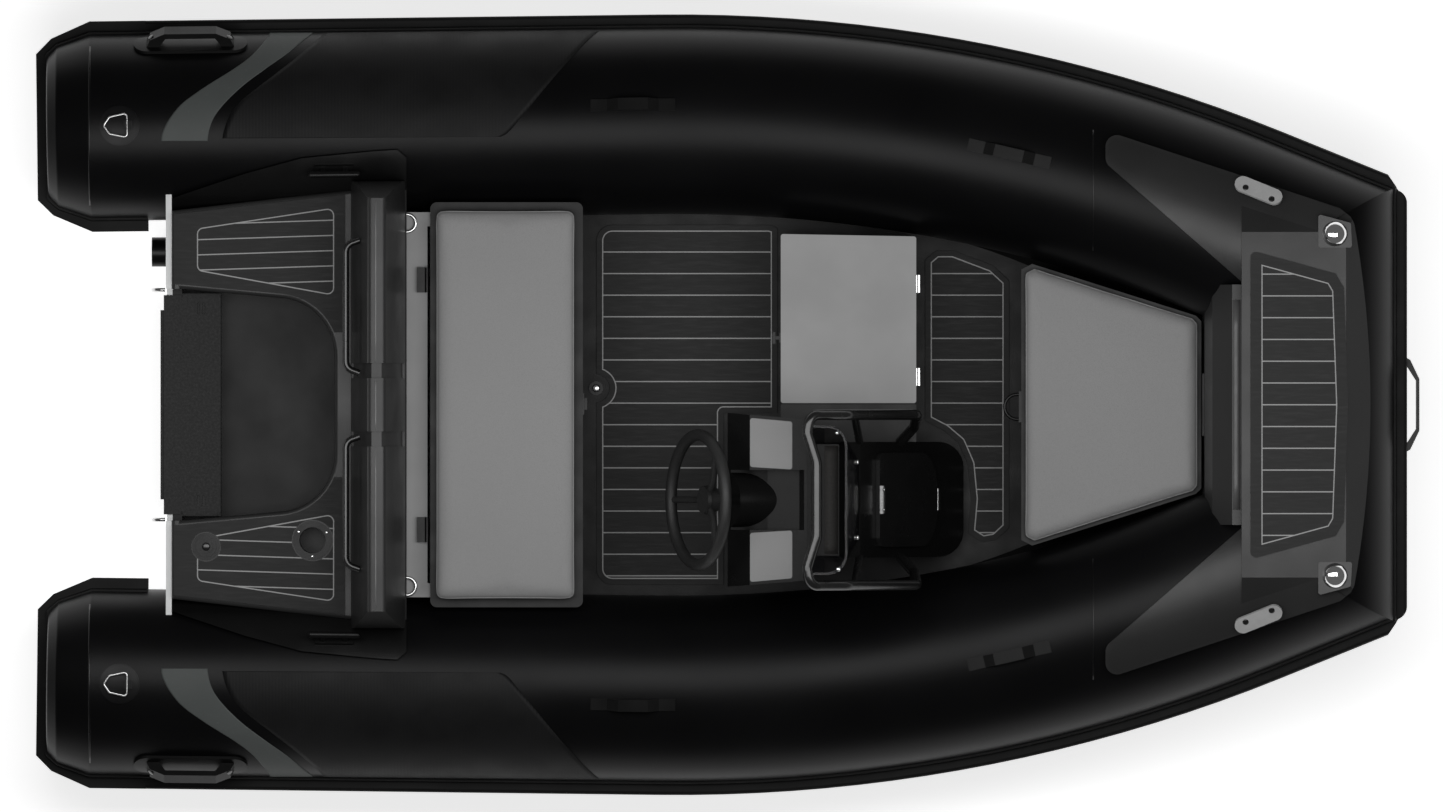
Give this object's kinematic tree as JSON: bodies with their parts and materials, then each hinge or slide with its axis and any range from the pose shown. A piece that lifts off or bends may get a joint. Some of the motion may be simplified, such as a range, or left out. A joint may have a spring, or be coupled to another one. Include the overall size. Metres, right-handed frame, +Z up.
{
  "type": "inflatable rib boat",
  "caption": "Small inflatable boat with a rigid V hull, offset console with wheel and screen, bench with backrest, lockers and a moulded foredeck.",
  "frame": {"origin": "on the centre plane at the middle of the length, at the waterline", "axes": "+X to the bow, +Y to port, +Z up"},
  "size_m": [3.3296, 1.8812, 1.1365],
  "materials": {
    "tube_fabric": "satin woven coated fabric",
    "ring_patch": "satin coated fabric patch",
    "lid_board": "dark board under the cushion",
    "rail_rubber": "satin ribbed rubber",
    "hull_paint": "smooth light grey coat",
    "keel_metal": "worn bare metal",
    "deck_floor": "dark grey non-slip",
    "moulding": "dark grey moulded satin",
    "flange_black": "black moulded",
    "motor_plate": "black textured coat",
    "stainless": "polished stainless",
    "chrome": "mirror polished",
    "deck_pad": "brushed foam with light plank lines",
    "black_tube": "black satin coat",
    "seat_box": "light grey moulded",
    "cushion": "light grey vinyl",
    "console_gloss": "black gloss moulding",
    "wheel_grip": "soft black grip",
    "screen": "dark tinted clear"
  },
  "bodies": {
    "boat": {"backrest": "moulding", "backrest_rails": "black_tube", "bench_box": "seat_box", "bench_hinges": "flange_black", "bow_cleats": "stainless", "bow_domes": "chrome", "bow_handle": "flange_black", "bow_hinge": "black_tube", "bow_locker": "seat_box", "bow_pad": "deck_pad", "bow_step": "moulding", "console_body": "console_gloss", "d_rings": "stainless", "dash_panels": "console_gloss", "deck_floor": "deck_floor", "door_hinge": "stainless", "filler_cap": "flange_black", "floor_pad_aft": "deck_pad", "floor_pad_forward": "deck_pad", "floor_ring": "flange_black", "foredeck": "moulding", "helm_boss": "console_gloss", "hull": "hull_paint", "keel_strip": "keel_metal", "locker_hinges": "stainless", "pole_socket": "flange_black", "rail_bow": "rail_rubber", "rail_port": "rail_rubber", "rail_starboard": "rail_rubber", "ring_patches": "ring_patch", "scupper_tube": "flange_black", "seat_rings": "stainless", "side_locker": "seat_box", "stern_cleats": "flange_black", "stern_eyes": "stainless", "stern_flanges": "flange_black", "stern_handles": "flange_black", "stern_moulding": "moulding", "stern_pad_port": "deck_pad", "stern_pad_starboard": "deck_pad", "transom_plate": "motor_plate", "tube_bow": "tube_fabric", "tube_port": "tube_fabric", "tube_starboard": "tube_fabric", "tube_straps": "flange_black", "windscreen": "screen", "windscreen_rail": "black_tube"},
    "wheel": {"wheel_rim": "wheel_grip", "wheel_spokes": "wheel_grip"},
    "bench_seat": {"bench_lid": "lid_board", "bench_cushion": "cushion", "bench_latch": "black_tube"},
    "side_lid": {"side_locker_lid": "seat_box", "locker_latch": "black_tube"},
    "bow_seat": {"bow_lid": "seat_box", "bow_cushion": "cushion", "bow_lid_ring": "flange_black"},
    "front_door": {"console_door": "console_gloss", "door_latch": "stainless"}
  },
  "joints": [
    {"name": "steering_turn", "type": "hinge", "parent": "boat", "child": "wheel", "pos_m": [-0.056, -0.228, 0.652], "axis": [-0.9063, 0, 0.4226], "range_deg": [-540, 540]},
    {"name": "bench_lid_hinge", "type": "hinge", "parent": "boat", "child": "bench_seat", "pos_m": [-0.709, 0, 0.41], "axis": [0, -1, 0], "range_deg": [0, 80]},
    {"name": "side_lid_hinge", "type": "hinge", "parent": "boat", "child": "side_lid", "pos_m": [0.475, 0.2, 0.363], "axis": [0, 1, 0], "range_deg": [0, 100]},
    {"name": "bow_lid_hinge", "type": "hinge", "parent": "boat", "child": "bow_seat", "pos_m": [1.1578, 0, 0.389], "axis": [0, 1, 0], "range_deg": [0, 80]},
    {"name": "door_hinge_pin", "type": "hinge", "parent": "boat", "child": "front_door", "pos_m": [0.51929, -0.228, 0.265], "axis": [0, 1, 0], "range_deg": [0, 75]}
  ]
}
